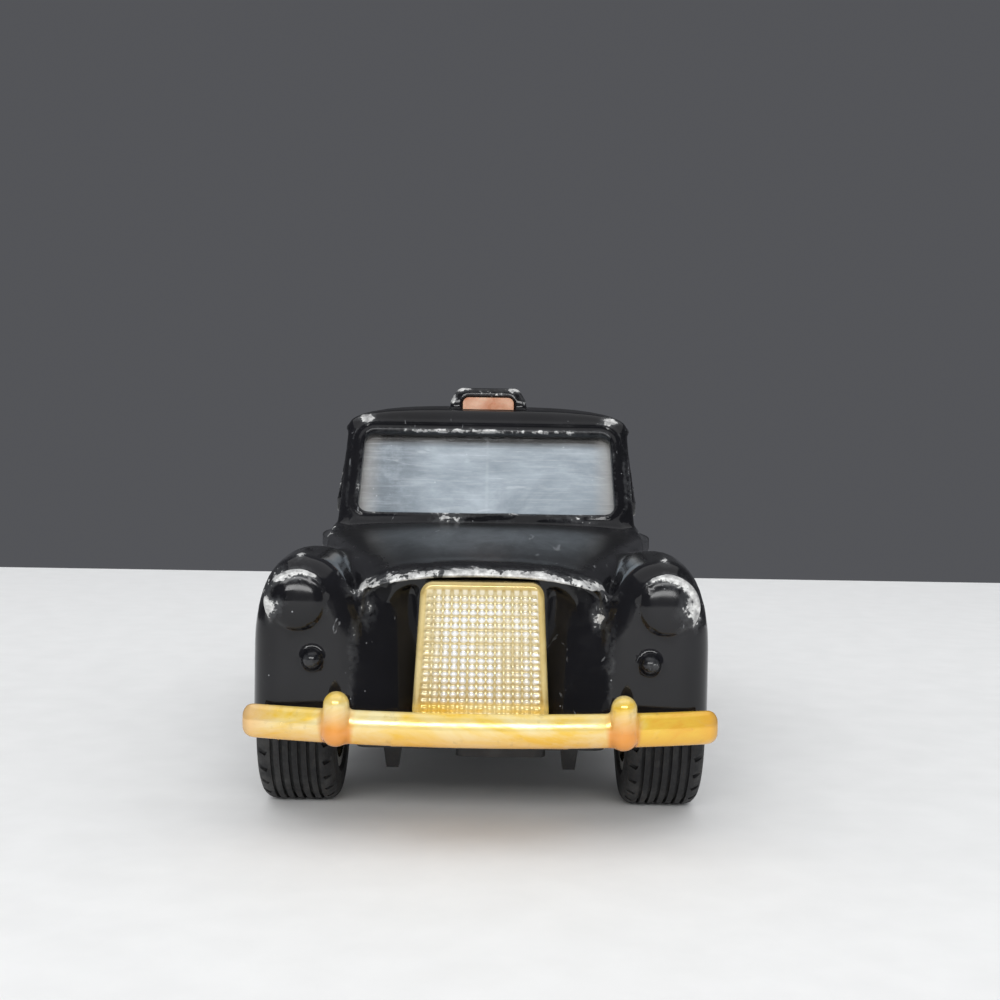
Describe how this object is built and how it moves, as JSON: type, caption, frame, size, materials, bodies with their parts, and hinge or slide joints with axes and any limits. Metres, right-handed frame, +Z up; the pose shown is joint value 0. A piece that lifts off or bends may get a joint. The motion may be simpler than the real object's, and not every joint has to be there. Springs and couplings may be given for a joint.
{
  "type": "toy taxi",
  "caption": "Old-style black toy taxi with a hollow die-cast body, plated bumper and grille, free-rolling wheels and rear doors that open on pins.",
  "frame": {"origin": "on the ground, below the middle of the car's length and width", "axes": "+Z up, -Y towards the front bumper, +X towards the car's left side"},
  "size_m": [0.0464, 0.121, 0.0455],
  "materials": {
    "black_enamel": "gloss black enamel on a zinc casting, chipped at the edges",
    "yellowed_plating": "bright plating on plastic, gone yellow",
    "silver_plating": "bright plating on plastic",
    "clear_plastic": "clear, hazed and scuffed",
    "tan_plastic": "moulded, satin",
    "black_plastic": "moulded, satin",
    "orange_plastic": "moulded insert, slightly cloudy",
    "tyre_rubber": "soft black tyre with a grooved tread",
    "steel": "plain steel wire and rivets"
  },
  "bodies": {
    "chassis": {"body_shell": "black_enamel", "base_plate": "black_plastic", "base_rivets": "steel", "front_bumper_grille": "yellowed_plating", "rear_bumper": "yellowed_plating", "window_glazing": "clear_plastic", "interior_tub": "tan_plastic", "steering_wheel": "black_plastic", "sign_lens": "orange_plastic", "front_axle": "steel", "rear_axle": "steel", "left_door_pins": "steel", "right_door_pins": "steel"},
    "front_left_wheel": {"front_left_tyre": "tyre_rubber", "front_left_hub": "silver_plating"},
    "front_right_wheel": {"front_right_tyre": "tyre_rubber", "front_right_hub": "silver_plating"},
    "rear_left_wheel": {"rear_left_tyre": "tyre_rubber", "rear_left_hub": "silver_plating"},
    "rear_right_wheel": {"rear_right_tyre": "tyre_rubber", "rear_right_hub": "silver_plating"},
    "left_door": {"left_rear_door": "black_enamel", "left_door_glass": "clear_plastic"},
    "right_door": {"right_rear_door": "black_enamel", "right_door_glass": "clear_plastic"}
  },
  "joints": [
    {"name": "front_left_wheel_spin", "type": "hinge", "parent": "chassis", "child": "front_left_wheel", "pos_m": [0.01875, -0.0405, 0.00925], "axis": [1, 0, 0], "continuous": true},
    {"name": "front_right_wheel_spin", "type": "hinge", "parent": "chassis", "child": "front_right_wheel", "pos_m": [-0.01875, -0.0405, 0.00925], "axis": [1, 0, 0], "continuous": true},
    {"name": "rear_left_wheel_spin", "type": "hinge", "parent": "chassis", "child": "rear_left_wheel", "pos_m": [0.01875, 0.0345, 0.00925], "axis": [1, 0, 0], "continuous": true},
    {"name": "rear_right_wheel_spin", "type": "hinge", "parent": "chassis", "child": "rear_right_wheel", "pos_m": [-0.01875, 0.0345, 0.00925], "axis": [1, 0, 0], "continuous": true},
    {"name": "left_door_hinge", "type": "hinge", "parent": "chassis", "child": "left_door", "pos_m": [0.02029, 0.02005, 0.0099], "axis": [-0.1218, 0, 0.9926], "range_deg": [0, 65]},
    {"name": "right_door_hinge", "type": "hinge", "parent": "chassis", "child": "right_door", "pos_m": [-0.02029, 0.02005, 0.0099], "axis": [-0.1218, 0, -0.9926], "range_deg": [0, 65]}
  ]
}
